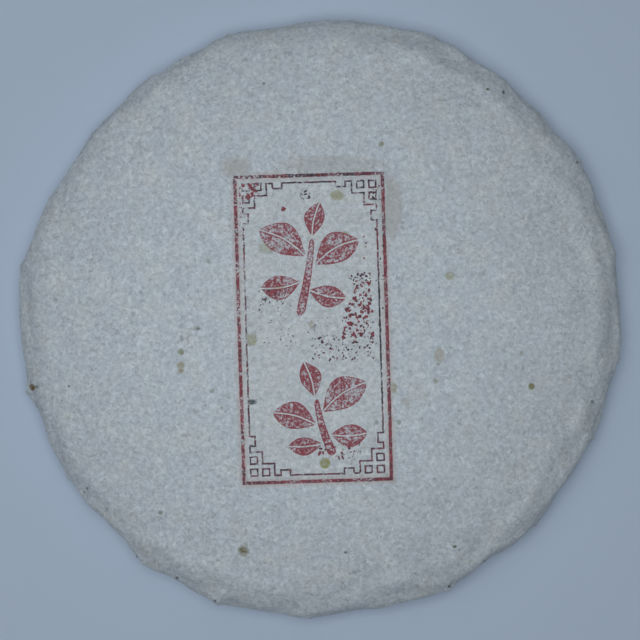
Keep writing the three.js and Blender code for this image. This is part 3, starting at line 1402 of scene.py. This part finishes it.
SPOTS = tuple(
    Spot((x * MM, y * MM), (across * MM, along * MM), tint, strength)
    for x, y, across, along, tint, strength in (
        (-25.2, -76.4, 4.4, 4.4, Tint.OLIVE, 0.7), (-25.2, -76.3, 3.2, 3.2, Tint.BROWN, 0.9),
        (-45.3, -10.8, 2.4, 2.4, Tint.OLIVE, 0.7), (-45.4, -15.2, 3, 3.2, Tint.TAN, 0.7),
        (-45.3, -17, 2.2, 1.9, Tint.TAN, 1), (-45.2, -6.3, 1.4, 2, Tint.GREY, 0.4),
        (-40.2, -3, 2.4, 2.2, Tint.OLIVE, 0.35), (-39.8, -3.2, 1, 1, Tint.GREY, 0.6),
        (-22.4, -6.8, 4.6, 4.8, Tint.YELLOW, 0.6), (-22.2, -27.1, 3.6, 2, Tint.GREY, 0.9),
        (-96.2, -22.9, 3, 2.6, Tint.BROWN, 0.9), (-94.4, -22.6, 1.5, 1.5, Tint.GREEN, 0.8),
        (-95.9, -29.7, 1.8, 2.2, Tint.GREEN, 0.9), (-82.9, -22.3, 1, 1, Tint.GREY, 0.8),
        (-35.3, -23.6, 1.8, 1.6, Tint.GREEN, 0.45), (-32, -29.1, 1.2, 1.6, Tint.GREEN, 0.4),
        (-77.6, -56.5, 1, 1, Tint.GREY, 0.9), (-78.9, -58, 0.9, 0.9, Tint.GREY, 0.8),
        (-80.1, -61.5, 1, 1, Tint.GREY, 0.8), (-52.6, -63.9, 1.8, 1.8, Tint.GREEN, 0.6),
        (-61.7, -79.9, 1.5, 1.7, Tint.GREY, 0.9), (-47.8, -86.6, 1.4, 1.4, Tint.GREY, 0.9),
        (-66.7, -75.1, 1.2, 1.2, Tint.GREY, 0.8), (-35.1, -94.2, 1.3, 1.3, Tint.GREY, 0.7),
        (-33.9, -79.6, 1, 1, Tint.GREEN, 0.5), (-36.4, 18.8, 1.6, 1.9, Tint.GREEN, 0.5),
        (-18.5, 77.4, 1.2, 1.2, Tint.GREY, 0.6), (19.9, 57.1, 2.1, 2.1, Tint.OLIVE, 0.75),
        (55.6, 76.2, 1.3, 1.1, Tint.GREEN, 0.9), (61, 75.4, 1, 2, Tint.GREY, 0.9),
        (85.7, 52.2, 1.2, 1.4, Tint.GREY, 0.6), (42.2, 14, 3.6, 3.2, Tint.YELLOW, 0.5),
        (22.8, 43.3, 3.4, 5, Tint.YELLOW, 0.25), (5.5, 40.2, 5, 4, Tint.YELLOW, 0.7),
        (7.6, 27, 5, 3.4, Tint.YELLOW, 0.6), (38.9, -11.8, 4, 5.4, Tint.TAN, 0.55),
        (38.4, -14.9, 1.3, 1, Tint.OLIVE, 0.5), (42.6, -9.5, 1.2, 1, Tint.GREEN, 0.4),
        (37.5, -20.3, 2.2, 2, Tint.OLIVE, 0.5), (34.6, -25, 1.8, 1.6, Tint.GREEN, 0.25),
        (69.3, -22.1, 2.6, 2.6, Tint.OLIVE, 0.95), (65.8, -11.2, 1.4, 1.4, Tint.OLIVE, 0.6),
        (44.4, -75.2, 1.6, 1.1, Tint.GREEN, 1), (46, -76.3, 1.5, 0.8, Tint.GREEN, 0.5),
        (25.6, -33.7, 2, 2, Tint.GREEN, 0.45), (18.4, -33.7, 1.8, 1.8, Tint.GREEN, 0.35),
        (1.6, -47.1, 4, 4.2, Tint.YELLOW, 0.85), (1.5, -47, 1.1, 1.1, Tint.OLIVE, 0.9),
        (23.8, -22.6, 2.8, 4.6, Tint.TAN, 0.7), (27.7, -27.1, 3.6, 3.2, Tint.WARM, 0.5),
        (90.5, -27.5, 1.3, 1.4, Tint.GREY, 0.8), (8.3, -76.7, 0.9, 1, Tint.GREY, 1),
        (55, -81.3, 1.5, 1.5, Tint.GREY, 0.9), (50.1, -80.3, 1.4, 1.1, Tint.WARM, 0.7),
        (43.2, -89.6, 1.4, 1.5, Tint.GREY, 0.9), (69.9, 66.3, 1.6, 1.3, Tint.WHITE, 0.6),
        (71.6, 64.6, 1.3, 1.2, Tint.WHITE, 0.6), (40, 72, 4, 1, Tint.GREEN, 0.3),
        (22.9, 36.6, 9, 24, Tint.WARM, 0.5), (-27.6, 49.4, 11, 8, Tint.WARM, 0.5),
        (4, 50, 40, 8, Tint.WARM, 0.3), (-17.5, 23.4, 6, 5, Tint.YELLOW, 0.4),
        (-13.6, 11, 4.4, 5, Tint.YELLOW, 0.45), (-2.7, -2, 2.6, 3.6, Tint.TAN, 0.6),
    )
)


def main() -> None:
    """Builds the wrapper, its print, its spots and the studio, and reports each piece."""
    logging.basicConfig(level=logging.INFO, format="%(name)s: %(message)s")
    paper_finish = PaperFinish()
    ink = InkFinish(paper_finish)
    wrapper = Wrapper(CakeForm(), paper_finish).build()
    paper = Paper(wrapper)
    stamp = StampFrame(paper, ink)
    pieces = [
        wrapper,
        stamp.build_bleed(),
        stamp.build(),
        Sprig("upper_sprig", paper, ink, UPPER_CENTRE, UPPER_LEAVES, UPPER_STEM).build(),
        Sprig("lower_sprig", paper, ink, LOWER_CENTRE, LOWER_LEAVES, LOWER_STEM).build(),
        InkFlecks(paper, ink, SMUDGES).build(),
        PaperSpots(paper, SpotFinish(paper_finish), SPOTS).build(),
    ]
    for piece in pieces:
        log.info("%s has %d faces", piece.name, len(piece.data.polygons))
    Studio().build()


if __name__ == "__main__":
    main()
